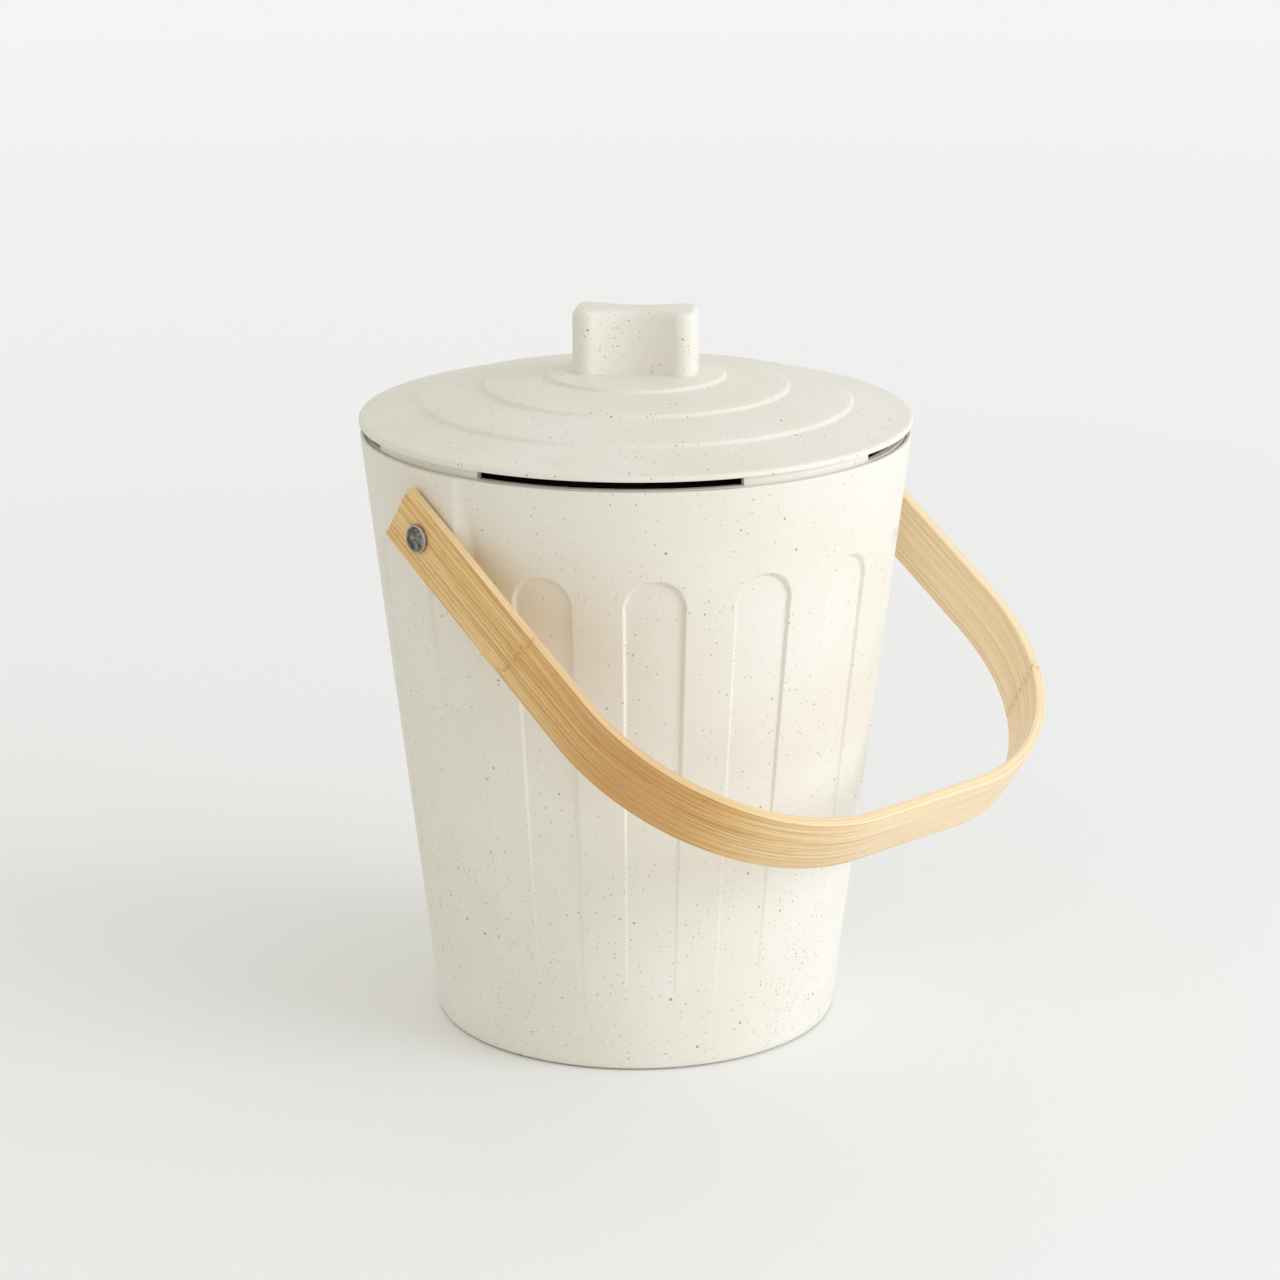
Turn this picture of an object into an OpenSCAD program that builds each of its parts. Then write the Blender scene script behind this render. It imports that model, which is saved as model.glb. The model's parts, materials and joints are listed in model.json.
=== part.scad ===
// Tapered kitchen compost caddy: a fluted pail, a vented lift-off lid with a charcoal filter,
// and a laminated bamboo bail that swings on two binding posts.
// Millimetres, +Z up, origin at the middle of the base. The bail rests towards -Y.

/* [Bucket] */
// Outer radius at the base
base_r = 70; // [60:1:76]
// Outer radius at the rim
rim_r = 94.6; // [90:0.1:110]
// Height of the bucket up to its rim
bucket_h = 209; // [190:1:260]
// Thickness of the side wall
wall_t = 3; // [2.2:0.1:4]
// Thickness of the floor
floor_t = 3; // [2:0.1:6]
// Corner cut off the rim and the lower edge
edge_r = 1.2; // [0.6:0.1:1.4]
// Thickness of the thin lip round the lid's seat
lip_t = 1.4; // [1:0.1:1.8]
// Depth of the lid's seat below the rim
seat_drop = 1.5; // [1:0.1:3]
// Width of the lid's seat
ledge_w = 2.4; // [2:0.1:3]

/* [Flutes] */
// Flutes, evenly round the bucket
flute_count = 15; // [6:1:18]
// Turn of the flutes from the middle between the pivots
flute_turn = 7.8; // [0:0.1:24]
// Half of the angle that a flute takes
flute_half_deg = 6.3; // [3:0.1:8]
// Depth of a flute at its top
flute_depth = 1.5; // [0.5:0.1:1.8]
// Distance from the rim down to the flute tops
flute_drop = 31; // [26:1:60]
// Height at which the flutes fade out
flute_fade_z = 19; // [8:1:60]

/* [Pivots] */
// Distance from the rim down to the pivot axis
pivot_drop = 21.7; // [20:0.1:26]
// How far the pad face stands out past the rim
pad_proud = 0.4; // [0.2:0.1:2]
// Half width of the pad face
pad_half = 12.3; // [10:0.1:14]
// Depth of the pad's sloping sides
pad_slope = 5; // [4:0.1:6]
// Radius of the post's barrel
barrel_r = 2.75; // [2:0.05:3]
// Radius of the post's head
head_r = 4.8; // [4:0.1:6]
// Thickness of the post's head
head_t = 1.2; // [0.8:0.1:2.5]
// Radius of the screw that closes the post
pivot_screw_r = 1.5; // [1.2:0.05:1.7]
// Radius of the spacer washer
spacer_r = 7; // [5:0.1:9]
// Thickness of the spacer washer
spacer_t = 0.7; // [0.4:0.1:1.5]
// Radius of the washer inside the bucket
inner_washer_r = 6; // [5:0.1:7]
// Thickness of the washer inside the bucket
inner_washer_t = 0.8; // [0.5:0.1:1.2]

/* [Handle] */
// Width of the bamboo strip
strip_w = 21.3; // [16:0.1:24]
// Thickness of the outer and the inner ply
face_ply_t = 0.8; // [0.5:0.1:1.2]
// Thickness of the core ply
core_ply_t = 2; // [1:0.1:3.5]
// Straight leg from the pivot to the corner bend
leg_l = 85.5; // [80:0.1:100]
// Strip left past the pivot
tail_l = 12.8; // [9:0.1:15]
// Outer radius of the corner bends
corner_r = 75; // [55:1:80]
// Angle of the resting handle below the horizontal
rest_deg = 33.7; // [0:0.1:50]

/* [Lid] */
// How far the lid stands out past the rim
lid_overhang = 0.4; // [0:0.05:0.5]
// Thickness of the domed plate
plate_t = 2.6; // [2:0.1:3.5]
// Height of the plate's edge band
lid_edge_h = 1.95; // [1.2:0.05:4]
// Radius of the plate's dome
dome_r = 375; // [300:5:600]
// Height of each of the three rings that step up to the middle
riser_h = 1.2; // [0.4:0.1:2]
// Radius of the flat seat under the knob
seat_r = 24; // [24:0.5:28]
// Distance from the seat out to the innermost ring
riser_first = 7.1; // [5:0.1:9]
// Distance from one ring to the next
riser_pitch = 21.8; // [16:0.1:23]

/* [Vents and filter] */
// Number of air slots round the lid
vents = 4; // [2:1:6]
// Angle that one air slot takes
vent_deg = 56; // [20:1:58]
// Turn of the air slots and the knob from the bail's front
vent_turn = -50; // [-90:1:90]
// Height of the air slots
vent_h = 3.8; // [2:0.1:5]
// Height of the slots' sill over the rim
sill_h = 0.2; // [0:0.1:1]
// Thickness of the vent ring's wall
ring_t = 2.2; // [1.6:0.1:3]
// Gap between the ring and the rim's lip
lip_gap = 0.8; // [0.4:0.1:1.2]
// Depth of the plug that enters the bucket
plug_l = 14; // [12:0.5:14]
// Thickness of the charcoal filter
filter_t = 8; // [4:0.5:8]
// Thickness of the filter grille
grille_t = 1.6; // [1.2:0.1:2]

/* [Knob] */
// Length of the knob
knob_l = 42.5; // [36:0.5:44]
// Depth of the knob at its ends
knob_d = 20; // [17:0.5:24]
// Depth of the knob at its waist
knob_waist = 12; // [11:0.5:15]
// Height of the knob
knob_h = 21.9; // [15:0.1:30]
// Radius of the knob's upright corners
knob_corner_r = 5; // [2:0.5:5]
// Radius of the knob's top edge
knob_edge_r = 2; // [1:0.25:2.5]
// Radius of the screw that holds the knob
knob_screw_r = 2.2; // [1.6:0.1:2.8]

/* [Fits] */
// Radial clearance of the handle on its posts
running_gap = 0.05; // [0.02:0.01:0.1]
// Side play at each face of the strip
side_play = 0.1; // [0.05:0.05:0.4]
// Thin gap between faces that only rest on each other
rest_gap = 0.1; // [0.05:0.05:0.3]
// Clearance between a fastener and its hole
hole_gap = 0.05; // [0.02:0.01:0.3]
// Glue line between two plies
glue_t = 0.05; // [0.02:0.01:0.1]
// Clearance of the plug in the bucket's mouth
plug_gap = 0.6; // [0.4:0.1:1.5]

/* [Hidden] */
$fn = 96;

cream = [0.91, 0.88, 0.83];
bamboo = [0.85, 0.69, 0.44];
gunmetal = [0.22, 0.21, 0.20];
steel = [0.72, 0.72, 0.70];
charcoal = [0.07, 0.07, 0.07];

left = -1;
right = 1;
slack = 1;                       // how far a cutter runs past the face it cuts
taper = (rim_r - base_r) / bucket_h;

pivot_z = bucket_h - pivot_drop;
pad_x = rim_r + pad_proud;
spot_x = inner_r(pivot_z) + 0.7;                     // flat inside seat of the pivot's washer
spot_r = inner_washer_r + 0.5;
strip_t = core_ply_t + 2 * (face_ply_t + glue_t);
strip_in = pad_x + spacer_t + side_play;
strip_out = strip_in + strip_t;
head_x = strip_out + side_play;
post_bore_r = pivot_screw_r + hole_gap;
pivot_screw_head_r = 2.8 * pivot_screw_r;
pivot_screw_head_t = 2;
chamfer = 0.4;

crown_x = strip_out - corner_r;                      // bend centres, sideways from the middle

flute_top_z = bucket_h - flute_drop;
flute_top_r = outer_r(flute_top_z) * tan(flute_half_deg);
flute_arc_z = flute_top_z - flute_top_r;

lip_r = rim_r - lip_t;
ledge_z = bucket_h - seat_drop;
mouth_r = lip_r - ledge_w;
mouth_z = (mouth_r + wall_t - base_r) / taper;       // where the upright mouth meets the cone inside

lid_r = rim_r + lid_overhang;
drip_h = 0.65;                                       // how far the drip band hangs below the plate
drip_gap = 0.2;                                      // gap between the drip band and the ring
front = -90;                                         // direction of the pail's front
flange_z = ledge_z + rest_gap;
vent_z = bucket_h + sill_h;
under_z = vent_z + vent_h;                           // plate's flat underside, on the ring's lands
lid_z = under_z - drip_h;                            // lower edge of the plate's drip band
edge_z = lid_z + lid_edge_h;
ring_r = lip_r - lip_gap;
plug_z = bucket_h - plug_l;
plug_r = inner_r(plug_z) - plug_gap;
plug_top_r = plug_r + taper * (flange_z - plug_z) / 2;
plug_t = 2;
plug_in = plug_r - plug_t;
risers = [for (k = [0:2]) seat_r + riser_first + k * riser_pitch];
dome_edge_r = lid_r - 1;
seat_z = dome(seat_r, 3);
tab_w_deg = 20;
tab_t = 1.8;
tab_l = 1.2;                                         // how far a tab reaches into the plug
tab_out = plug_in - rest_gap;
tab_in = tab_out - tab_t;

bead_h = 0.3;                                        // how far the grille's bead stands out
filter_r = plug_in - 4 * bead_h;
grille_z = plug_z + 3 * bead_h;
grille_r = plug_in - bead_h;
bead_r = plug_in + bead_h;
filter_z = grille_z + grille_t + rest_gap;
spokes = 8;
spoke_w = 4;
mesh_pitch = 15;
lap = 0.02;                      // lap that joins stacked forms of one piece

knob_bite = 0.6;                 // share of the knob's height that its screw reaches
knob_washer_t = 0.8;
knob_screw_head_t = 2.4;

// Outer and inner radius of the bucket at height z.
function outer_r(z) = base_r + taper * z;
function inner_r(z) = outer_r(z) - wall_t;

// Height of the lid's dome at radius r after a number of risers.
function dome(r, steps) = edge_z
    + (dome_edge_r * dome_edge_r - r * r) / (2 * dome_r) + steps * riser_h;

// Points along one stretch of the dome, lowered by a depth.
function dome_run(from_r, to_r, steps, depth, parts = 6) =
    [for (i = [0:parts]) let (r = from_r + (to_r - from_r) * i / parts) [r, dome(r, steps) - depth]];

module ring_sector(r_in, r_out, z, h, from_deg, deg)
    rotate([0, 0, from_deg]) rotate_extrude(angle = deg)
        translate([r_in, z]) square([r_out - r_in, h]);

// A disc or a bar along X, from x0 to x1 on the given side, on the pivot axis.
module pivot_bar(side, x0, x1, r)
    translate([side * x0, 0, pivot_z]) rotate([0, side * 90, 0]) cylinder(h = x1 - x0, r = r);

// ---- bucket ----

module bucket_profile() {
    difference() {
        polygon([[0, 0], [base_r, 0], [rim_r, bucket_h], [lip_r, bucket_h], [lip_r, ledge_z],
            [mouth_r, ledge_z], [mouth_r, mouth_z], [inner_r(floor_t), floor_t], [0, floor_t]]);
        // rounded lower edge and rim, as small cut corners
        polygon([[base_r - edge_r, -slack], [base_r - edge_r, 0], [base_r + taper * edge_r, edge_r],
            [base_r + slack, edge_r], [base_r + slack, -slack]]);
        polygon([[rim_r - edge_r / 2, bucket_h + slack], [rim_r - edge_r / 2, bucket_h],
            [rim_r - taper * edge_r, bucket_h - edge_r], [rim_r + slack, bucket_h - edge_r],
            [rim_r + slack, bucket_h + slack]]);
    }
}

// Outline of one flute, seen from outside: tapering sides and a round top.
module flute_outline() {
    polygon([[-outer_r(0) * tan(flute_half_deg), 0], [outer_r(0) * tan(flute_half_deg), 0],
        [flute_top_r, flute_arc_z], [-flute_top_r, flute_arc_z]]);
    translate([0, flute_arc_z]) circle(r = flute_top_r);
}

module flutes() {
    depth_top = flute_depth * (bucket_h - flute_fade_z) / (flute_top_z - flute_fade_z);
    floor_r = outer_r(flute_fade_z);
    intersection() {
        rotate_extrude() polygon([[floor_r, flute_fade_z], [rim_r - depth_top, bucket_h],
            [rim_r + 2 * slack, bucket_h], [floor_r + 2 * slack, flute_fade_z]]);
        for (k = [0:flute_count - 1])
            rotate([0, 0, flute_turn + k * 360 / flute_count])
                translate([0, -base_r / 2, 0]) rotate([90, 0, 0])
                    linear_extrude(height = rim_r) flute_outline();
    }
}

// Raised pad with a flat upright face, sloping sides and a round lower end about the pivot.
module pivot_pad(side) {
    foot = pad_half + pad_slope;
    linear_x = pad_x - pad_slope;
    mirror([side < 0 ? 1 : 0, 0, 0]) {
        translate([linear_x, 0, pivot_z]) rotate([0, 90, 0])
            cylinder(h = pad_slope, r1 = foot, r2 = pad_half);
        translate([0, 0, pivot_z]) linear_extrude(height = pivot_drop)
            polygon([[linear_x, -foot], [pad_x, -pad_half], [pad_x, pad_half], [linear_x, foot]]);
    }
}

module bucket() {
    color(cream) difference() {
        union() {
            difference() {
                rotate_extrude() bucket_profile();
                flutes();
            }
            difference() {
                for (side = [left, right]) pivot_pad(side);
                rotate_extrude() polygon([[0, floor_t], [inner_r(floor_t) + lap, floor_t],
                    [mouth_r + lap, mouth_z], [mouth_r + lap, ledge_z], [lip_r + lap, ledge_z],
                    [lip_r + lap, bucket_h + lap], [0, bucket_h + lap]]);
            }
        }
        for (side = [left, right]) {
            pivot_bar(side, spot_x - 6, spot_x, spot_r);
            pivot_bar(side, spot_x - slack, pad_x + slack, barrel_r + hole_gap);
        }
    }
}

// ---- handle ----

// Section of a ply between two depths from the outer face; the strip's long edges are chamfered.
module ply_section(d0, d1) {
    top = d0 < 0.01 ? chamfer : 0;
    bottom = d1 > strip_t - 0.01 ? chamfer : 0;
    half = strip_w / 2;
    polygon([[-d0, half - top], [-d0 - top, half], [-d1 + bottom, half], [-d1, half - bottom],
        [-d1, bottom - half], [-d1 + bottom, -half], [-d0 - top, -half], [-d0, top - half]]);
}

module leg(d0, d1)
    translate([strip_out, leg_l, 0]) rotate([90, 0, 0])
        linear_extrude(height = leg_l + tail_l) ply_section(d0, d1);

module bend(d0, d1)
    translate([crown_x, leg_l, 0]) rotate_extrude(angle = 90, $fn = 180)
        translate([corner_r, 0]) ply_section(d0, d1);

module crown(d0, d1)
    translate([-crown_x, leg_l + corner_r, 0]) rotate([90, 0, 90])
        linear_extrude(height = 2 * crown_x) ply_section(d0, d1);

// One ply of the bail at its resting angle, with a bore for each post.
module ply(d0, d1) {
    color(bamboo) difference() {
        translate([0, 0, pivot_z]) rotate([rest_deg, 0, 0]) rotate([0, 0, 180]) union() {
            crown(d0, d1);
            for (flip = [0, 1]) mirror([flip, 0, 0]) {
                leg(d0, d1);
                bend(d0, d1);
            }
        }
        for (side = [left, right])
            pivot_bar(side, strip_in - slack, strip_out + slack, barrel_r + running_gap);
    }
}

module handle_outer_ply() { ply(0, face_ply_t); }
module handle_core_ply() { ply(face_ply_t + glue_t, face_ply_t + glue_t + core_ply_t); }
module handle_inner_ply() { ply(strip_t - face_ply_t, strip_t); }

// ---- pivot hardware ----

module pivot_post(side) {
    color(gunmetal) difference() {
        union() {
            pivot_bar(side, spot_x, head_x + head_t / 2, barrel_r);
            pivot_bar(side, head_x, head_x + head_t - 0.2, head_r);
            pivot_bar(side, head_x + head_t / 2, head_x + head_t, head_r - 0.2);
        }
        pivot_bar(side, spot_x - slack, strip_out, post_bore_r);
    }
}

module spacer_washer(side) {
    color(gunmetal) difference() {
        pivot_bar(side, pad_x, pad_x + spacer_t, spacer_r);
        pivot_bar(side, pad_x - slack, pad_x + spacer_t + slack, barrel_r + hole_gap);
    }
}

module inner_washer(side) {
    color(steel) difference() {
        pivot_bar(side, spot_x - inner_washer_t, spot_x, inner_washer_r);
        pivot_bar(side, spot_x - inner_washer_t - slack, spot_x + slack, post_bore_r);
    }
}

// Pan-head screw with a cross recess.
module pivot_screw(side) {
    head_in = spot_x - inner_washer_t - pivot_screw_head_t;
    color(steel) difference() {
        union() {
            pivot_bar(side, head_in, head_in + pivot_screw_head_t, pivot_screw_head_r);
            pivot_bar(side, head_in, strip_in, pivot_screw_r);
        }
        for (turn = [0, 90])
            translate([side * head_in, 0, pivot_z]) rotate([turn, 0, 0])
                cube([2, 0.9, pivot_screw_head_r], center = true);
    }
}

module pivot_post_left() { pivot_post(left); }
module pivot_post_right() { pivot_post(right); }
module spacer_washer_left() { spacer_washer(left); }
module spacer_washer_right() { spacer_washer(right); }
module inner_washer_left() { inner_washer(left); }
module inner_washer_right() { inner_washer(right); }
module pivot_screw_left() { pivot_screw(left); }
module pivot_screw_right() { pivot_screw(right); }

// ---- lid ----

module plate_profile() {
    band = 0.9;                                      // rounding of the plate's outer edge
    edge_cut = 0.4;
    top = concat(
        [[lid_r - edge_cut, lid_z], [lid_r, lid_z + edge_cut], [lid_r, edge_z - band],
            [lid_r - band / 3, edge_z - band / 3]],
        dome_run(dome_edge_r, risers[2], 0, 0),
        dome_run(risers[2] - riser_h, risers[1], 1, 0),
        dome_run(risers[1] - riser_h, risers[0], 2, 0),
        [[risers[0] - riser_h, seat_z], [0, seat_z]]);
    underside = concat([[0, seat_z - plate_t]],
        [for (p = dome_run(seat_r, dome_edge_r, 0, plate_t)) if (p[1] > under_z)
            [p[0], p[1] + riser_h * rings_inside(p[0])]],
        [[tab_in - edge_cut, under_z], [ring_r + drip_gap, under_z], [ring_r + drip_gap, lid_z]]);
    polygon(concat(top, underside));
}

// Number of risers that lie outside radius r.
function rings_inside(r) = len([for (edge = risers) if (edge > r + plate_t) 1]);

module lid_plate() {
    land_mid = 180 / vents;
    color(cream) {
        difference() {
            union() {
                rotate_extrude() plate_profile();
                for (k = [0:vents - 1])
                    ring_sector(tab_in, tab_out, flange_z - tab_l, under_z - flange_z + tab_l + lap,
                        vent_turn + front + land_mid + k * 360 / vents - tab_w_deg / 2, tab_w_deg);
            }
            translate([0, 0, seat_z - plate_t - slack])
                cylinder(h = plate_t + 2 * slack, r = knob_screw_r + hole_gap);
        }
    }
}

// Ring with four air slots cut through it, a foot on the rim's seat and a plug in the mouth.
module vent_ring() {
    color(cream) difference() {
        rotate_extrude() polygon([[plug_in, plug_z], [plug_r, plug_z], [plug_top_r, flange_z],
            [ring_r, flange_z], [ring_r, under_z], [ring_r - ring_t, under_z],
            [ring_r - ring_t, vent_z], [plug_in, flange_z]]);
        translate([0, 0, grille_z]) cylinder(h = grille_t, r = bead_r + rest_gap);
        for (k = [0:vents - 1])
            ring_sector(ring_r - ring_t - slack, ring_r + slack, vent_z, vent_h + slack,
                vent_turn + front - vent_deg / 2 + k * 360 / vents, vent_deg);
    }
}

module charcoal_filter()
    color(charcoal) translate([0, 0, filter_z]) cylinder(h = filter_t, r = filter_r);

// Open rings and spokes, with a bead that snaps into the plug's groove.
module filter_grille() {
    color(cream) difference() {
        union() {
            translate([0, 0, grille_z + rest_gap / 2])
                cylinder(h = grille_t - rest_gap, r = grille_r);
            translate([0, 0, grille_z + grille_t / 4]) cylinder(h = grille_t / 2, r = bead_r);
        }
        difference() {
            for (r = [mesh_pitch:mesh_pitch:grille_r - mesh_pitch / 2])
                rotate_extrude() translate([r - mesh_pitch / 4, grille_z - slack])
                    square([mesh_pitch * 0.6, grille_t + 2 * slack]);
            for (k = [0:spokes / 2 - 1])
                rotate([0, 0, k * 180 / (spokes / 2)])
                    translate([-grille_r, -spoke_w / 2, grille_z - 2 * slack])
                        cube([2 * grille_r, spoke_w, grille_t + 4 * slack]);
        }
    }
}

// ---- knob ----

// Knob outline: rounded ends and hollowed long sides.
module knob_outline() {
    sag = (knob_d - knob_waist) / 2;
    side_r = (knob_l * knob_l / 4 + sag * sag) / (2 * sag);
    offset(r = knob_corner_r, $fn = 24) offset(delta = -knob_corner_r) difference() {
        square([knob_l, knob_d], center = true);
        for (side = [left, right])
            translate([0, side * (knob_waist / 2 + side_r)]) circle(r = side_r, $fn = 96);
    }
}

// One slice of the rounded top edge, lofted between two angles of its quarter round.
module knob_top_slice(from_deg, to_deg) {
    function inset(a) = knob_edge_r * (1 - cos(a));
    function share(size, a) = (size - 2 * inset(a)) / size;
    z0 = knob_h - knob_edge_r * (1 - sin(from_deg));
    z1 = knob_h - knob_edge_r * (1 - sin(to_deg));
    translate([0, 0, z0 - lap])
        linear_extrude(height = z1 - z0 + lap, slices = 1, scale = [
            share(knob_l, to_deg) / share(knob_l, from_deg),
            share(knob_d, to_deg) / share(knob_d, from_deg)])
            scale([share(knob_l, from_deg), share(knob_d, from_deg)]) knob_outline();
}

module lid_knob() {
    step = 22.5;
    color(cream) translate([0, 0, seat_z]) difference() {
        rotate([0, 0, vent_turn]) {
            linear_extrude(height = knob_h - knob_edge_r) knob_outline();
            for (a = [0:step:90 - step]) knob_top_slice(a, a + step);
        }
        translate([0, 0, -slack]) cylinder(h = knob_h * knob_bite + 2 * slack, r = knob_screw_r + hole_gap);
    }
}

module knob_washer() {
    color(steel) difference() {
        translate([0, 0, seat_z - plate_t - knob_washer_t])
            cylinder(h = knob_washer_t, r = 3 * knob_screw_r);
        translate([0, 0, seat_z - plate_t - knob_washer_t - slack])
            cylinder(h = knob_washer_t + 2 * slack, r = knob_screw_r + hole_gap);
    }
}

module knob_screw() {
    head_z = seat_z - plate_t - knob_washer_t - knob_screw_head_t;
    color(steel) difference() {
        union() {
            translate([0, 0, head_z]) cylinder(h = knob_screw_head_t, r = 2 * knob_screw_r);
            translate([0, 0, head_z]) cylinder(h = seat_z + knob_h * knob_bite - head_z, r = knob_screw_r);
        }
        for (turn = [0, 90])
            translate([0, 0, head_z]) rotate([0, 0, turn])
                cube([2.4 * knob_screw_r, 1, 2.4], center = true);
    }
}

bucket();
handle_outer_ply();
handle_core_ply();
handle_inner_ply();
pivot_post_left();
pivot_post_right();
spacer_washer_left();
spacer_washer_right();
inner_washer_left();
inner_washer_right();
pivot_screw_left();
pivot_screw_right();
lid_plate();
vent_ring();
charcoal_filter();
filter_grille();
lid_knob();
knob_screw();
knob_washer();
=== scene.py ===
"""The finish of a compost caddy: speckled moulded pail and lid, laminated bamboo bail, dark rivets.

Lengths are in metres, written as millimetres times MM. Angles round the pail are in degrees
from -Y, the side that the bail rests on, and grow towards +X.
"""
import json
import math

import bmesh
import bpy
import numpy as np
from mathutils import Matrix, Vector


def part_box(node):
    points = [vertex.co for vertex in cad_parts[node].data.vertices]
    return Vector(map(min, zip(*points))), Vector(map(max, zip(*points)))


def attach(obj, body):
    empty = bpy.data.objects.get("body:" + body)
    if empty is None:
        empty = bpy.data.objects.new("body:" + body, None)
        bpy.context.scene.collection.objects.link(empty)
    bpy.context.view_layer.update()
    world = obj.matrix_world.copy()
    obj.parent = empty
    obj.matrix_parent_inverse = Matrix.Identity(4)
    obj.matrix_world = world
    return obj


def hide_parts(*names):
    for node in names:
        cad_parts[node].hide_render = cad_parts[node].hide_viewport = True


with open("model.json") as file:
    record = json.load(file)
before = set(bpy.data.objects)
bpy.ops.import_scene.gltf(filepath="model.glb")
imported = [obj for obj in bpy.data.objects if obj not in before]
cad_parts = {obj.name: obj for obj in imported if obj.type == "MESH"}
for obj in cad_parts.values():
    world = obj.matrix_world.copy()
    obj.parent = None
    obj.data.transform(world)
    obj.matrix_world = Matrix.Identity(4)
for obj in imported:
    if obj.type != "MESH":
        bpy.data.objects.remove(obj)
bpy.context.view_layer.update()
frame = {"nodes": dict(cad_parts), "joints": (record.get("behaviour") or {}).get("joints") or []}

MM = 0.001

# ---- the pail's sizes ----

BASE_R = 70 * MM
RIM_R = 94.6 * MM
PAIL_H = 209 * MM
WALL = 3 * MM
FLOOR_T = 3 * MM
COVE_R = 5 * MM
LIP_BEAD = 0.7 * MM
TAPER = (RIM_R - BASE_R) / PAIL_H
LIP_R = RIM_R - 1.4 * MM
LEDGE_Z = PAIL_H - 1.5 * MM
MOUTH_R = LIP_R - 2.4 * MM
MOUTH_Z = (MOUTH_R + WALL - BASE_R) / TAPER
PIVOT_Z = next(joint for joint in frame["joints"] if joint["name"] == "bail_swing")["pos_m"][2]

# how many flutes, the first one's angle, half a flute's width as an angle, its depth at the
# top, where it starts, where it has faded out, and how soft its edge is
FLUTES = 15
FLUTE_TURN = -16.24
FLUTE_HALF = 6.34
FLUTE_DEPTH = 1.5 * MM
FLUTE_TOP = PAIL_H - 31 * MM
FLUTE_FADE = 19 * MM
FLUTE_SOFT = 0.55 * MM

# the flat pads that the bail turns against: their face, half their width, how far round
# they are looked for, in radians, and how soft their edges are
PAD_X = 95 * MM
PAD_HALF = 12.3 * MM
PAD_ARC = 0.35
PAD_SOFT = 0.4 * MM

# ---- the bail's sizes ----

STRIP_OUT = 99.5 * MM
STRIP_W = 21.3 * MM
STRIP_T = 3.7 * MM
FACE_PLY = 0.8 * MM
GLUE = 0.05 * MM
# top and bottom depth under the outer face, then the rounding of the long edges at each
OUTER_PLY = (0, FACE_PLY, 0.75 * MM, 0.03 * MM)
CORE_PLY = (FACE_PLY + GLUE, STRIP_T - FACE_PLY - GLUE, 0.05 * MM, 0.05 * MM)
INNER_PLY = (STRIP_T - FACE_PLY, STRIP_T, 0.03 * MM, 0.6 * MM)
# the straight leg from the pivot to the bend, the end past the pivot, and the bend's radius
LEG = 85.5 * MM
TAIL = 12.8 * MM
CORNER_R = 75 * MM
REST_ANGLE = math.radians(33.7)
# the bamboo's joints, along the strip from its middle
KNUCKLES = (-0.172, 0.099)

# ---- the rivets' sizes, along X from the middle of the pail ----

POST_BORE_R = 2.8 * MM
POST_R = 2.75 * MM
POST_HOLE_R = 1.55 * MM
POST_IN = 89.75 * MM
POST_HOLE_OUT = 99.4 * MM
WASHER_BORE_R = 6.5 * MM
WASHER_BORE_IN = 84 * MM
HEAD_R = 4.8 * MM
HEAD_IN = 99.6 * MM
HEAD_OUT = 100.8 * MM
HEAD_DISH = 0.3 * MM

# ---- the lid's sizes ----

LID_R = 95 * MM
LID_LOW = 212.35 * MM
UNDER_Z = 213 * MM
BAND_R = 92.6 * MM
BAND_IN = 84.9 * MM
TAB_R = 87.25 * MM
TAB_T = 1.8 * MM
TAB_LOW = 206.4 * MM
TAB_HALF = 10
EDGE_R = LID_R - 1 * MM
EDGE_Z = 214.3 * MM
DOME_R = 375 * MM
# the three steps of the lid's top: their height, width and rounding, and where each starts
RISER = 1.2 * MM
RISER_RUN = 1.0 * MM
RISER_SOFT = 0.6 * MM
RISER_RADII = (74.7 * MM, 52.9 * MM, 31.1 * MM)
PLATE_T = 2.6 * MM
SEAT_R = 24 * MM
SCREW_HOLE = 2.25 * MM
KNOB_TURN = -50
KNOB_EDGE = 2.4 * MM


# ---- mesh making ----

SMOOTH_ANGLE = 40
SAME_PLACE = 1e-7
NO_LENGTH = 1e-8


def piece_from(name, vertices, faces, smooth_angle=SMOOTH_ANGLE):
    """A new object from points and faces, smooth but for edges sharper than the angle."""
    mesh = bpy.data.meshes.new(name)
    mesh.from_pydata([tuple(v) for v in vertices], [], faces)
    work = bmesh.new()
    work.from_mesh(mesh)
    bmesh.ops.remove_doubles(work, verts=work.verts, dist=SAME_PLACE)
    bmesh.ops.dissolve_degenerate(work, edges=work.edges, dist=NO_LENGTH)
    bmesh.ops.recalc_face_normals(work, faces=work.faces)
    work.to_mesh(mesh)
    work.free()
    mesh.shade_smooth()
    mesh.set_sharp_from_angle(angle=math.radians(smooth_angle))
    piece = bpy.data.objects.new(name, mesh)
    bpy.context.scene.collection.objects.link(piece)
    return piece


def grid_faces(rows, columns, wrap_rows=False, wrap_columns=False):
    """Quads over a grid of points that is stored row by row."""
    faces = []
    for i in range(rows if wrap_rows else rows - 1):
        for j in range(columns if wrap_columns else columns - 1):
            i2 = (i + 1) % rows
            j2 = (j + 1) % columns
            faces.append((i * columns + j, i * columns + j2,
                          i2 * columns + j2, i2 * columns + j))
    return faces


def end_faces(rows, columns):
    """The two faces that close a tube made by grid_faces."""
    last = (rows - 1) * columns
    return [tuple(range(columns)), tuple(last + k for k in reversed(range(columns)))]


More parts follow.
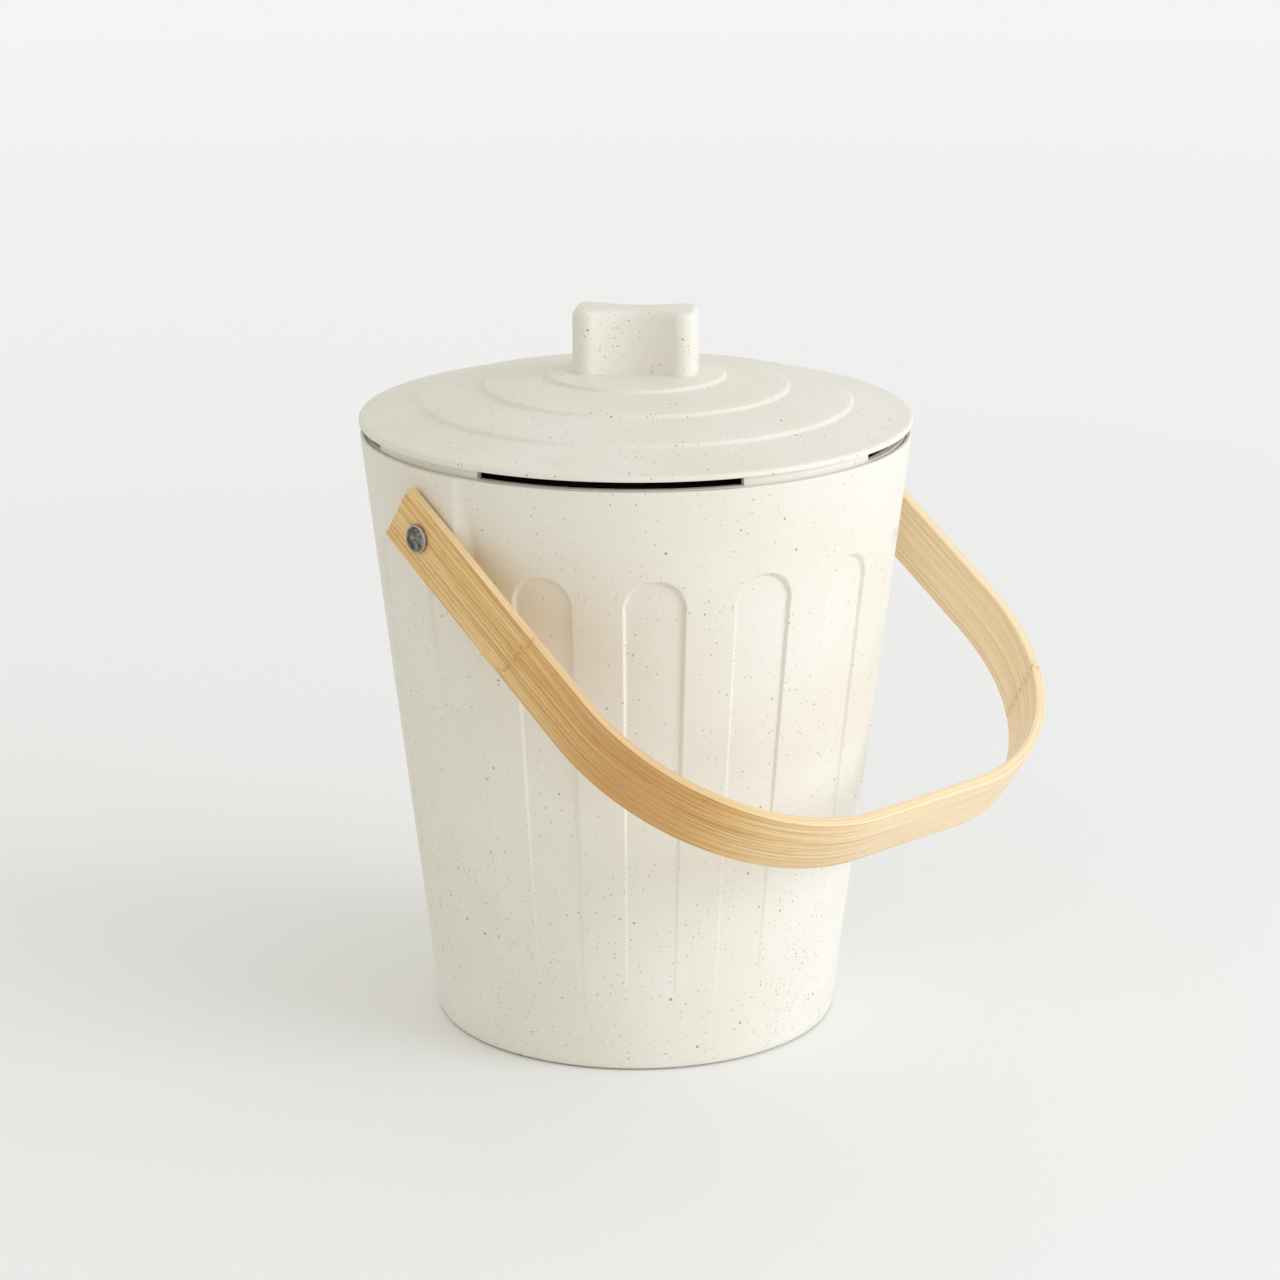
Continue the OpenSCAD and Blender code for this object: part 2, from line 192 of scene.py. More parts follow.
def rounded(corners, steps):
    """A smooth outline through corners given as (x, y, radius); each round is an arc."""
    outline = []
    count = len(corners)
    for k, (x, y, radius) in enumerate(corners):
        here = Vector((x, y))
        before = (Vector(corners[k - 1][:2]) - here).normalized()
        after = (Vector(corners[(k + 1) % count][:2]) - here).normalized()
        if radius <= 0:
            outline.append(here)
            continue
        half = before.angle(after) / 2
        reach = radius / math.tan(half)
        middle = here + (before + after).normalized() * radius / math.sin(half)
        start = here + before * reach - middle
        sweep = (here + after * reach - middle).angle_signed(start)
        for step in range(steps + 1):
            turn = sweep * step / steps
            outline.append(middle + Vector((
                start.x * math.cos(turn) - start.y * math.sin(turn),
                start.x * math.sin(turn) + start.y * math.cos(turn))))
    return [(p.x, p.y) for p in outline]


def revolved(name, outline, segments, on_pivot=False):
    """A closed outline of (radius, place on the axis), turned about the pail's or bail's axis."""
    points = []
    for radius, along in outline:
        for k in range(segments):
            angle = 2 * math.pi * k / segments
            a = radius * math.cos(angle)
            b = radius * math.sin(angle)
            points.append((along, a, b + PIVOT_Z) if on_pivot else (a, b, along))
    faces = grid_faces(len(outline), segments, wrap_rows=True, wrap_columns=True)
    return piece_from(name, points, faces)


def drilled(piece, cutters):
    """Cuts other pieces out of a piece and removes them."""
    for cutter in cutters:
        cut = piece.modifiers.new("cut", "BOOLEAN")
        cut.object = cutter
        cut.solver = "EXACT"
    seen = piece.evaluated_get(bpy.context.evaluated_depsgraph_get())
    mesh = bpy.data.meshes.new_from_object(seen)
    mesh.set_sharp_from_angle(angle=math.radians(SMOOTH_ANGLE))
    piece.modifiers.clear()
    piece.data = mesh
    for cutter in cutters:
        bpy.data.objects.remove(cutter)


def pivot_cutters(radius, x0, x1):
    """A round bar across each pivot, between two distances from the middle."""
    bars = []
    for side in (-1, 1):
        outline = [(0, side * x0), (radius, side * x0), (radius, side * x1), (0, side * x1)]
        bars.append(revolved("cutter", outline, 48, on_pivot=True))
    return bars


# ---- shader maths ----

class Wire:
    """A value in a finish; arithmetic on it adds Math nodes."""

    def __init__(self, finish, socket):
        self.finish = finish
        self.socket = socket

    def __add__(self, other):
        return self.finish.math("ADD", self, other)

    def __sub__(self, other):
        return self.finish.math("SUBTRACT", self, other)

    def __mul__(self, other):
        return self.finish.math("MULTIPLY", self, other)

    def __truediv__(self, other):
        return self.finish.math("DIVIDE", self, other)

    def __lt__(self, other):
        return self.finish.math("LESS_THAN", self, other)

    __rmul__ = __mul__


class Finish:
    """One material, written as expressions on its wires."""

    def __init__(self, name):
        self.material = bpy.data.materials.new(name)
        self.material.use_nodes = True
        self.tree = self.material.node_tree
        self.surface = self.tree.nodes["Principled BSDF"]

    def node(self, kind, settings=None, output=0, **sockets):
        """Any node: its settings first, then the values or wires of its sockets by name."""
        made = self.tree.nodes.new(kind)
        for name, value in (settings or {}).items():
            setattr(made, name, value)
        for name, value in sockets.items():
            wanted = name.replace("_", " ")
            self.join(value, next(s for s in made.inputs if s.enabled and s.name == wanted))
        return Wire(self, made.outputs[output])

    def parts(self, kind, **sockets):
        """Every output of a node."""
        made = self.node(kind, **sockets).socket.node
        return [Wire(self, socket) for socket in made.outputs]

    def join(self, value, socket):
        """Links a wire to a socket, or sets the socket to a number or a colour."""
        if isinstance(value, Wire):
            self.tree.links.new(value.socket, socket)
        elif isinstance(value, tuple) and socket.type == "RGBA":
            socket.default_value = (*value, 1)
        else:
            socket.default_value = value

    def math(self, operation, *values):
        """One Math node."""
        made = self.tree.nodes.new("ShaderNodeMath")
        made.operation = operation
        for value, socket in zip(values, made.inputs):
            self.join(value, socket)
        return Wire(self, made.outputs[0])

    def ramp(self, value, *stops):
        """A value turned into shades, each stop a place with a grey number or a colour."""
        wire = self.node("ShaderNodeValToRGB", Fac=value)
        elements = wire.socket.node.color_ramp.elements
        while len(elements) > 1:
            elements.remove(elements[-1])
        for k, (place, shade) in enumerate(stops):
            stop = elements[0] if k == 0 else elements.new(place)
            stop.position = place
            stop.color = (*shade, 1) if isinstance(shade, tuple) else (shade, shade, shade, 1)
        return wire

    def mix(self, share, first, second):
        """Two colours mixed: the second one's share over the first."""
        made = self.tree.nodes.new("ShaderNodeMix")
        made.data_type = "RGBA"
        # this node has number and vector sockets too; 6, 7 and output 2 are the colour ones
        for value, k in ((share, 0), (first, 6), (second, 7)):
            self.join(value, made.inputs[k])
        return Wire(self, made.outputs[2])

    def noise(self, place, scale, detail, rough):
        """Soft noise from 0 to 1."""
        return self.node("ShaderNodeTexNoise", Vector=place, Scale=scale, Detail=detail,
                         Roughness=rough)

    def streaks(self, place, scales, detail, rough):
        """Noise with its own scale on each axis, so that it can run long on one."""
        drawn_out = self.node("ShaderNodeMapping", Vector=place, Scale=scales)
        return self.noise(drawn_out, 1, detail, rough)

    def object_place(self):
        """The place on the piece, in its own metres."""
        return self.node("ShaderNodeTexCoord", output="Object")

    def bump(self, height, distance, strength):
        """A surface normal from a height."""
        return self.node("ShaderNodeBump", Height=height, Distance=distance, Strength=strength)

    def paint(self, **sockets):
        """Sets the surface's sockets; constants stay on the socket itself."""
        for name, value in sockets.items():
            self.join(value, self.surface.inputs[name.replace("_", " ")])
        return self.material


def wear(piece, material):
    """Gives a piece one material."""
    piece.data.materials.clear()
    piece.data.materials.append(material)


# ---- finishes ----

CREAM = (0.835, 0.795, 0.690)
CREAM_PALE = (0.870, 0.845, 0.765)
HUSK_BROWN = (0.27, 0.155, 0.085)
HUSK_GREY = (0.23, 0.195, 0.15)

BAMBOO_SHADES = ((0.12, (0.56, 0.280, 0.070)), (0.36, (0.76, 0.450, 0.145)),
                 (0.60, (0.88, 0.590, 0.225)), (0.86, (0.95, 0.710, 0.340)))
BAMBOO_PIN = (0.42, 0.200, 0.060)
BAMBOO_SOFT = (0.92, 0.700, 0.390)
# painted shade for the lower left of the strip, then painted highlight for its right part and for
# its long edges
BAMBOO_PAINTED_SHADE = (0.57, 0.245, 0.050)
BAMBOO_PAINTED_HIGHLIGHT = (0.97, 0.845, 0.650)
BAMBOO_EDGE_HIGHLIGHT = (0.96, 0.780, 0.480)
BAMBOO_KNUCKLE = (0.50, 0.215, 0.060)

METAL_SHADES = ((0.38, (0.065, 0.058, 0.050)), (0.54, (0.19, 0.175, 0.155)),
                (0.68, (0.42, 0.390, 0.330)))
# the colour of the painted highlight on the rim of the rivet heads
METAL_RIM_HIGHLIGHT = (0.62, 0.555, 0.490)
STEEL_SHADES = ((0.3, (0.42, 0.42, 0.41)), (0.7, (0.62, 0.62, 0.60)))
FELT_SHADES = ((0.35, (0.004, 0.004, 0.004)), (0.7, (0.035, 0.035, 0.036)))

# the height that the share of flecks changes over, and the reach of the painted highlight ring on
# the rivet heads
SPECK_REACH = 260 * MM
RIM_HIGHLIGHT_REACH = 5 * MM


def specks(finish, place, cell, share, radius):
    """Round flecks of random size and tint: a share of a cell pattern's cells holds one."""
    distance, colour = finish.parts("ShaderNodeTexVoronoi", Vector=place, Scale=1 / cell)[:2]
    chance, size, tint = finish.parts("ShaderNodeSeparateColor", Color=colour)
    reach = radius / cell * (size * 0.8 + 0.4)
    return (distance < reach) * (chance < share), tint


def speckled_plastic():
    """Matte plastic filled with ground husk: cream with brown flecks, most near base and rim."""
    finish = Finish("speckled_plastic")
    place = finish.object_place()
    height = finish.parts("ShaderNodeSeparateXYZ", Vector=place)[2]
    cloud = finish.noise(place, 14, 4, 0.6)
    patches = finish.ramp(finish.noise(place, 45, 3, 0.6), (0.42, 0.25), (0.62, 1.0))
    rich = patches * finish.ramp(
        height / SPECK_REACH,
        (0.0, 1.0), (0.12, 0.75), (0.35, 0.38), (0.75, 0.30), (0.95, 0.75))
    dust, _ = specks(finish, place, 0.7 * MM, rich * 0.9, 0.15 * MM)
    fine, fine_tint = specks(finish, place, 1.25 * MM, rich * 0.8, 0.28 * MM)
    coarse, coarse_tint = specks(finish, place, 3.0 * MM, rich * 0.5, 0.46 * MM)
    ground = finish.mix(finish.ramp(cloud, (0.35, 0.0), (0.65, 1.0)), CREAM, CREAM_PALE)
    husk = finish.mix(fine_tint, HUSK_BROWN, HUSK_GREY)
    colour = finish.mix(dust * 0.34, ground, HUSK_BROWN)
    colour = finish.mix(fine * (fine_tint * 0.4 + 0.30), colour, husk)
    colour = finish.mix(coarse * (coarse_tint * 0.4 + 0.45), colour, husk)
    grit = finish.noise(place, 2600, 2, 0.6)
    return finish.paint(
        Base_Color=colour,
        Roughness=finish.noise(place, 300, 2, 0.5) * 0.14 + 0.47,
        Normal=finish.bump(grit, 0.03 * MM, 0.5))


def bamboo_wood():
    """Laminated bamboo: long pale and tan fibres, darker pin marks and a joint here and there."""
    finish = Finish("bamboo_wood")
    strip = finish.node("ShaderNodeAttribute", {"attribute_name": "strip"}, "Vector")
    along, across, _ = finish.parts("ShaderNodeSeparateXYZ", Vector=strip)
    fibres = finish.streaks(strip, (20, 1900, 1900), 2, 0.6)
    pins = finish.streaks(strip, (150, 2100, 2100), 2, 0.5)

    bands = finish.streaks(strip, (5, 330, 400), 3, 0.6) * 0.20
    lines = finish.ramp(fibres, (0.42, 0.0), (0.58, 1.0)) * 0.36
    threads = finish.streaks(strip, (9, 1500, 1500), 1, 0.5)
    threads = finish.ramp(threads, (0.42, 0.0), (0.58, 1.0)) * 0.42
    colour = finish.ramp(bands + lines + threads, *BAMBOO_SHADES)

    pin_marks = finish.ramp(pins, (0.58, 0.0), (0.68, 1.0))
    colour = finish.mix(pin_marks * 0.45, colour, BAMBOO_PIN)
    wide = finish.ramp(finish.streaks(strip, (10, 60, 60), 2, 0.5), (0.40, 0.0), (0.70, 1.0))
    colour = finish.mix(wide * 0.20, colour, BAMBOO_SOFT)

    run = along * 2 + 0.5
    # painted shade: the strip made darker over the lower left leg and round the left bend
    painted_shade = finish.ramp(run, (0.14, 0.0), (0.26, 1.0), (0.31, 0.8), (0.37, 0.0))
    colour = finish.mix(painted_shade * 0.60, colour, BAMBOO_PAINTED_SHADE)
    # painted highlight: the strip made paler from the upper left bend over the crown and down the
    # right leg
    pale = finish.ramp(run, (0.33, 0.0), (0.46, 1.0))
    colour = finish.mix(pale * 0.50, colour, BAMBOO_PAINTED_HIGHLIGHT)
    # painted highlight: the long edge faces of each ply made paler, as if lit from above
    to_edge = finish.math("ABSOLUTE", across) / (STRIP_W / 2)
    edge = finish.ramp(to_edge, (0.975, 0.0), (0.995, 1.0))
    colour = finish.mix(edge * 0.5, colour, BAMBOO_EDGE_HIGHLIGHT)

    waver = (finish.streaks(strip, (20, 420, 0), 2, 0.6) - 0.5) * 0.007 + across * 0.2
    apart = finish.math("MINIMUM", *(
        finish.math("ABSOLUTE", along + waver - place) for place in KNUCKLES))
    knuckle = finish.ramp(apart * 100, (0.0, 1.0), (0.04, 0.9), (0.08, 0.35), (0.45, 0.0))
    marks = finish.ramp(finish.streaks(strip, (500, 1300, 1300), 2, 0.7), (0.44, 0.0), (0.58, 1.0))
    colour = finish.mix(knuckle * marks * 0.70, colour, BAMBOO_KNUCKLE)
    return finish.paint(
        Base_Color=colour,
        Roughness=fibres * 0.20 + 0.36,
        Normal=finish.bump(fibres + pins * 0.4, 0.06 * MM, 0.7),
        Coat_Weight=0.10,
        Coat_Roughness=0.3)


def gunmetal():
    """Dark worn metal with lighter blotches, and a painted highlight round the edge of the heads.
    """
    finish = Finish("gunmetal")
    place = finish.object_place()
    blotch = finish.noise(place, 520, 4, 0.65)
    scratch = finish.streaks(place, (2400, 700, 2400), 3, 0.6)
    _, across, height = finish.parts("ShaderNodeSeparateXYZ", Vector=place)
    up = height - PIVOT_Z
    from_pivot = finish.math("SQRT", across * across + up * up)
    # painted highlight: a lighter ring round the rounded rim of each head
    rim_highlight = finish.ramp(from_pivot / RIM_HIGHLIGHT_REACH, (0.80, 0.0), (0.90, 0.75), (0.98, 0.30))
    return finish.paint(
        Base_Color=finish.mix(rim_highlight, finish.ramp(blotch, *METAL_SHADES), METAL_RIM_HIGHLIGHT),
        Metallic=0.85,
        Roughness=scratch * 0.25 + 0.28,
        Normal=finish.bump(blotch, 0.05 * MM, 0.5))


def satin_steel():
    """Plain satin steel for the hidden screws and washers."""
    finish = Finish("satin_steel")
    brushed = finish.streaks(finish.object_place(), (300, 3000, 300), 3, 0.6)
    return finish.paint(
        Base_Color=finish.ramp(brushed, *STEEL_SHADES),
        Metallic=1.0,
        Roughness=brushed * 0.2 + 0.22)


def charcoal_felt():
    """Open carbon felt."""
    finish = Finish("charcoal_felt")
    pores = finish.noise(finish.object_place(), 900, 4, 0.8)
    return finish.paint(
        Base_Color=finish.ramp(pores, *FELT_SHADES),
        Roughness=0.95,
        Normal=finish.bump(pores, 0.6 * MM, 1.0))


# ---- the pail ----

def flute_centres():
    """The angle of each flute's middle, evenly round the wall."""
    return [(FLUTE_TURN + k * 360 / FLUTES + 180) % 360 - 180 for k in range(FLUTES)]


def outer_radius(z):
    """Radius of the pail's plain wall at a height."""
    return BASE_R + TAPER * z


def smooth_step(x):
    """0 below 0, 1 above 1 and a soft curve between."""
    x = np.clip(x, 0, 1)
    return x * x * (3 - 2 * x)


def soft_min(a, b, soft):
    """The smaller of two values, their crossing rounded over a width."""
    near = np.maximum(soft - np.abs(a - b), 0) / soft
    return np.minimum(a, b) - near * near * soft / 4


def flute_relief(beta, z):
    """How far the wall is pressed in at a height, over angles in degrees."""
    radius = outer_radius(z)
    arc_r = outer_radius(FLUTE_TOP) * math.tan(math.radians(FLUTE_HALF))
    arc_z = FLUTE_TOP - arc_r
    depth = FLUTE_DEPTH * max((z - FLUTE_FADE) / (FLUTE_TOP - FLUTE_FADE), 0)
    relief = np.zeros_like(beta)
    for centre in flute_centres():
        apart = (beta - centre + 180) % 360 - 180
        across = np.abs(np.radians(apart)) * radius
        if z > arc_z:
            inside = arc_r - np.hypot(across, z - arc_z)
        else:
            inside = radius * math.radians(FLUTE_HALF) - across
        relief = np.maximum(relief, smooth_step(inside / (2 * FLUTE_SOFT) + 0.5))
    return relief * depth


def pad_radius(beta, z):
    """Radius of the raised pads at a height: a flat face, sloping sides and a round lower end."""
    apart = np.radians(np.abs(np.abs(beta) - 90))
    face = PAD_X / np.cos(apart)
    reach = PAD_X + PAD_HALF
    below = max(PIVOT_Z - z, 0)
    double = np.cos(2 * apart)
    root = np.maximum((reach * np.cos(apart)) ** 2 - double * (reach ** 2 - below ** 2), 0)
    slope = (reach * np.cos(apart) - np.sqrt(root)) / double
    return np.where((apart < PAD_ARC) & (below < reach), soft_min(face, slope, PAD_SOFT), 0)


def wall_radius(beta, z):
    """Radius of the outside at a height: the fluted wall, or the pads where they stand out."""
    wall = outer_radius(z) - flute_relief(beta, z)
    return -soft_min(-wall, -pad_radius(beta, z), PAD_SOFT)


def pail_columns():
    """Angles of the wall's upright lines, closer together where a flute's edge runs."""
    lines = set(np.round(np.arange(-180, 180, 0.5), 3))
    for centre in flute_centres():
        for side in (-1, 1):
            for step in range(-4, 5):
                line = centre + side * FLUTE_HALF + step * 0.125
                lines.add(round((line + 180) % 360 - 180, 3))
    ordered = sorted(lines)
    kept = [ordered[0]]
    for line in ordered[1:]:
        if line - kept[-1] > 0.06:
            kept.append(line)
    return np.array(kept)


def pail_shell():
    """The fluted pail as one shell, from the middle of its base up the wall and down inside."""
    beta = pail_columns()
    quarter = np.linspace(0, math.pi / 2, 6)
    wall_heights = np.concatenate([
        np.linspace(2.5 * MM, 18 * MM, 8), np.linspace(24 * MM, 162 * MM, 24),
        np.arange(164, 181, 0.45) * MM, np.arange(181.6, 207.3, 0.9) * MM])
    inside_heights = np.concatenate([np.arange(200, 174, -2), np.arange(170, 10, -20)]) * MM
    cove_middle = outer_radius(FLOOR_T) - WALL - COVE_R

    base = [(0, 0), (BASE_R * 0.5, 0), (BASE_R - 5 * MM, 0),
            (BASE_R - 2.8 * MM, 0), (BASE_R - 2.8 * MM, 0.55 * MM), (BASE_R - 0.7 * MM, 0.6 * MM),
            (BASE_R - 0.25 * MM, 0.8 * MM), (BASE_R, 1.3 * MM)]
    wall = [(wall_radius(beta, z), z) for z in wall_heights]
    lip = []
    for a in quarter:
        z = PAIL_H - LIP_BEAD + LIP_BEAD * math.sin(a)
        lip.append((wall_radius(beta, z) - (LIP_BEAD - LIP_BEAD * math.cos(a)), z))
    mouth = [(LIP_R + 0.15 * MM, PAIL_H), (LIP_R, PAIL_H - 0.15 * MM), (LIP_R, LEDGE_Z),
             (MOUTH_R, LEDGE_Z), (MOUTH_R, MOUTH_Z)]
    inside = [(outer_radius(z) - WALL, z) for z in inside_heights]
    cove = [(cove_middle + COVE_R * math.cos(a), FLOOR_T + COVE_R - COVE_R * math.sin(a))
            for a in quarter]
    rings = base + wall + lip + mouth + inside + cove + [(0, FLOOR_T)]

    angle = np.radians(beta)
    points = [np.stack([r * np.sin(angle), -r * np.cos(angle), np.full_like(beta, z)], 1)
              for r, z in rings]
    faces = grid_faces(len(rings), len(beta), wrap_columns=True)
    pail = piece_from("pail_shell", np.concatenate(points), faces, 50)
    drilled(pail, pivot_cutters(WASHER_BORE_R, WASHER_BORE_IN, POST_IN)
            + pivot_cutters(POST_BORE_R, 85 * MM, 97 * MM))
    return pail


# ---- the bail ----

def bail_path(depth):
    """Sideways and downward places of the bail's line at a depth under its outer face."""
    leg = np.linspace(-TAIL, LEG, 24)
    corner = np.linspace(0, math.pi / 2, 40)[1:]
    crown = np.linspace(STRIP_OUT - CORNER_R, 0, 6)[1:]
    x = np.concatenate([np.full_like(leg, STRIP_OUT - depth),
                        STRIP_OUT - CORNER_R + (CORNER_R - depth) * np.cos(corner), crown])
    v = np.concatenate([leg, LEG + (CORNER_R - depth) * np.sin(corner),
                        np.full_like(crown, LEG + CORNER_R - depth)])
    return np.concatenate([x, -x[-2::-1]]), np.concatenate([v, v[-2::-1]])


def bail_ply(name, top, bottom, round_top, round_bottom):
    """One bent ply between two depths under the outer face, with its own rounded long edges."""
    half = STRIP_W / 2
    section = rounded([(top, half, round_top), (bottom, half, round_bottom),
                       (bottom, -half, round_bottom), (top, -half, round_top)], 4)
    lines = []
    for depth, across in section:
        x, v = bail_path(depth)
        y = -v * math.cos(REST_ANGLE) + across * math.sin(REST_ANGLE)
        z = PIVOT_Z - v * math.sin(REST_ANGLE) - across * math.cos(REST_ANGLE)
        lines.append(np.stack([x, y, z], 1))
    points = np.stack(lines, 1)
    rows, columns = points.shape[:2]
    faces = grid_faces(rows, columns, wrap_columns=True) + end_faces(rows, columns)
    ply = piece_from(name, points.reshape(-1, 3), faces)
    drilled(ply, pivot_cutters(POST_BORE_R, 94 * MM, 101 * MM))
    lay_grain(ply)
    return ply


def lay_grain(ply):
    """Stores where each point lies on the straightened strip: along, across and deep."""
    places = np.empty(len(ply.data.vertices) * 3)
    ply.data.vertices.foreach_get("co", places)
    x, y, z = places.reshape(-1, 3).T
    v = -y * math.cos(REST_ANGLE) - (z - PIVOT_Z) * math.sin(REST_ANGLE)
    across = y * math.sin(REST_ANGLE) - (z - PIVOT_Z) * math.cos(REST_ANGLE)
    out = np.abs(x) - (STRIP_OUT - CORNER_R)
    turn = np.arctan2(v - LEG, out)
    on_leg = v <= LEG
    on_bend = ~on_leg & (out > 0)
    bend_end = LEG + CORNER_R * math.pi / 2
    along = np.where(on_leg, v, np.where(on_bend, LEG + CORNER_R * turn, bend_end - out))
    deep = np.where(on_leg, CORNER_R - out, np.where(
        on_bend, CORNER_R - np.hypot(v - LEG, out), LEG + CORNER_R - v))
    to_middle = bend_end + STRIP_OUT - CORNER_R
    strip = np.stack([np.sign(x) * (to_middle - along), across, deep], 1)
    grain = ply.data.attributes.new("strip", "FLOAT_VECTOR", "POINT")
    grain.data.foreach_set("vector", strip.astype(np.float32).ravel())


# ---- rivets ----

def rivet(name, side):
    """Binding post: a flat head with a rounded rim and a shallow dish, on a hollow barrel."""
    dish_out = HEAD_OUT - HEAD_DISH
    outline = rounded([
        (POST_HOLE_R, POST_IN, 0), (POST_R, POST_IN, 0.15 * MM), (POST_R, HEAD_IN, 0),
        (HEAD_R, HEAD_IN, 0.2 * MM), (HEAD_R, HEAD_OUT, 0.45 * MM),
        (HEAD_R - 0.8 * MM, HEAD_OUT, 0.12 * MM), (HEAD_R - 1.0 * MM, dish_out, 0.1 * MM),
        (0, dish_out + 0.05 * MM, 0), (0, POST_HOLE_OUT, 0), (POST_HOLE_R, POST_HOLE_OUT, 0)], 4)
    return revolved(name, [(r, side * x) for r, x in outline], 64, on_pivot=True)


# ---- the lid ----

def dome_height(radius, risers):
    """Height of the lid's top at a radius, some risers in from its edge."""
    return EDGE_Z + (EDGE_R ** 2 - radius ** 2) / (2 * DOME_R) + risers * RISER


def lid_plate():
    """The domed plate with its three soft steps, flat seat and rounded edge."""
    # the edge, then the top, drawn inwards
    corners = [(LID_R, LID_LOW, 0.45 * MM), (LID_R, dome_height(EDGE_R, 0), 1.4 * MM)]
    start = LID_R - 3 * MM
    for risers, radius in enumerate(RISER_RADII):
        for k in range(5):
            r = start + (radius + 1.6 * MM - start) * k / 4
            corners.append((r, dome_height(r, risers), 0))
        corners.append((radius, dome_height(radius, risers), RISER_SOFT))
        corners.append((radius - RISER_RUN, dome_height(radius, risers + 1), RISER_SOFT))
        start = radius - 2.6 * MM
    # the knob's seat and the screw's hole
    seat = dome_height(SEAT_R, 3)
    corners += [(28 * MM, dome_height(28 * MM, 3), 0), (SEAT_R, seat, 0),
                (SCREW_HOLE, seat, 0), (SCREW_HOLE, seat - PLATE_T, 0)]
    # the underside, drawn outwards under the top's steps, and the band round it
    for r in (SEAT_R, 40 * MM, 58 * MM, 71 * MM, 82 * MM):
        risers = sum(1 for radius in RISER_RADII if radius > r + PLATE_T)
        corners.append((r, dome_height(r, risers) - PLATE_T, 0))
    corners += [(BAND_IN, UNDER_Z, 0), (BAND_R, UNDER_Z, 0), (BAND_R, LID_LOW, 0.3 * MM)]
    return revolved("lid_dome", rounded(corners, 5), 256)


def lid_tab(name, beta):
    """One of the lid's curved tabs that drop inside the vent ring."""
    angles = np.radians(beta + np.linspace(-TAB_HALF, TAB_HALF, 17))
    back_r = TAB_R - TAB_T
    section = [(TAB_R, TAB_LOW), (TAB_R, UNDER_Z), (back_r, UNDER_Z), (back_r, TAB_LOW)]
    points = [(r * math.sin(a), -r * math.cos(a), z) for a in angles for r, z in section]
    rows, columns = len(angles), len(section)
    return piece_from(name, points,
                      grid_faces(rows, columns, wrap_columns=True) + end_faces(rows, columns))


def knob_outline():
    """Outline of the knob: four round lobes, flat ends and long sides hollowed between lobes."""
    lobe_r, lobe_x, lobe_y, waist = 5.1 * MM, 16.1 * MM, 4.8 * MM, 6 * MM
    gap = waist - lobe_y
    hollow_r = (lobe_x ** 2 + gap ** 2 - lobe_r ** 2) / (2 * (lobe_r - gap))
    lean = math.atan2(lobe_x, gap + hollow_r)
    lobe = [(lobe_x + lobe_r * math.cos(a), lobe_y + lobe_r * math.sin(a))
            for a in np.linspace(0, math.pi / 2 + lean, 13)]
    hollow = [(hollow_r * math.sin(a), waist + hollow_r - hollow_r * math.cos(a))
              for a in np.linspace(lean, -lean, 24)[1:-1]]
    front = lobe + hollow + [(-x, y) for x, y in reversed(lobe)]
    return np.array(front + [(-x, -y) for x, y in front])


def lid_knob():
    """The bar knob, its outline drawn in towards a rounded top."""
    outline = knob_outline()
    seat = dome_height(SEAT_R, 3)
    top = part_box("lid_knob")[1][2]
    turn = math.radians(KNOB_TURN)
    ahead = np.roll(outline, -1, 0) - np.roll(outline, 1, 0)
    outward = np.stack([ahead[:, 1], -ahead[:, 0]], 1) / np.linalg.norm(ahead, axis=1)[:, None]
    levels = [(0, seat), (0, seat + 1 * MM), (0, top - KNOB_EDGE - 1 * MM)]
    levels += [(KNOB_EDGE * (1 - math.cos(a)), top - KNOB_EDGE * (1 - math.sin(a)))
               for a in np.linspace(0, math.pi / 2, 9)]
    rings = []
    for inset, z in levels:
        flat = outline - outward * inset
        rings.append(np.stack([flat[:, 0] * math.cos(turn) - flat[:, 1] * math.sin(turn),
                               flat[:, 0] * math.sin(turn) + flat[:, 1] * math.cos(turn),
                               np.full(len(flat), z)], 1))
    rows, columns = len(rings), len(outline)
    faces = grid_faces(rows, columns, wrap_columns=True) + end_faces(rows, columns)
    return piece_from("bar_knob", np.concatenate(rings), faces, 50)


# ---- putting it together ----

def dress():
    """Makes every piece, gives each its finish and sets it on its body."""
    plastic = speckled_plastic()
    bamboo = bamboo_wood()
    dark = gunmetal()
    steel = satin_steel()
    felt = charcoal_felt()
    made = [
        (pail_shell(), plastic, "pail", "bucket", "caddy_body"),
        (lid_plate(), plastic, "lid", "lid_plate", "caddy_body"),
        (lid_knob(), plastic, "lid", "lid_knob", "caddy_body"),
        (bail_ply("bail_outer_ply", *OUTER_PLY), bamboo, "bail", "handle_outer_ply", "bamboo"),
        (bail_ply("bail_core_ply", *CORE_PLY), bamboo, "bail", "handle_core_ply", "bamboo"),
        (bail_ply("bail_inner_ply", *INNER_PLY), bamboo, "bail", "handle_inner_ply", "bamboo"),
        (rivet("rivet_left", -1), dark, "pail", "pivot_post_left", "gunmetal"),
        (rivet("rivet_right", 1), dark, "pail", "pivot_post_right", "gunmetal")]
    for k in range(4):
        tab = lid_tab("lid_tab_" + str(k), KNOB_TURN + 45 + 90 * k)
        made.append((tab, plastic, "lid", "lid_plate", "caddy_body"))
    for piece, material, body, node, slot in made:
        wear(piece, material)
        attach(piece, body)
        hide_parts(node)
    kept = {"vent_ring": plastic, "filter_grille": plastic, "charcoal_filter": felt,
            "spacer_washer_left": dark, "spacer_washer_right": dark,
            "inner_washer_left": steel, "inner_washer_right": steel, "pivot_screw_left": steel,
            "pivot_screw_right": steel, "knob_screw": steel, "knob_washer": steel}
    for node, material in kept.items():
        wear(frame["nodes"][node], material)


# ---- studio ----

BACKDROP = (0.90, 0.91, 0.90)
DAYLIGHT = (1.0, 0.985, 0.935)
DAYLIGHT_STRENGTH = 0.73

FLOOR_SHADE = (0.93, 0.935, 0.925)
FLOOR_HALF = 8.0
FADE_REACH = 4.0

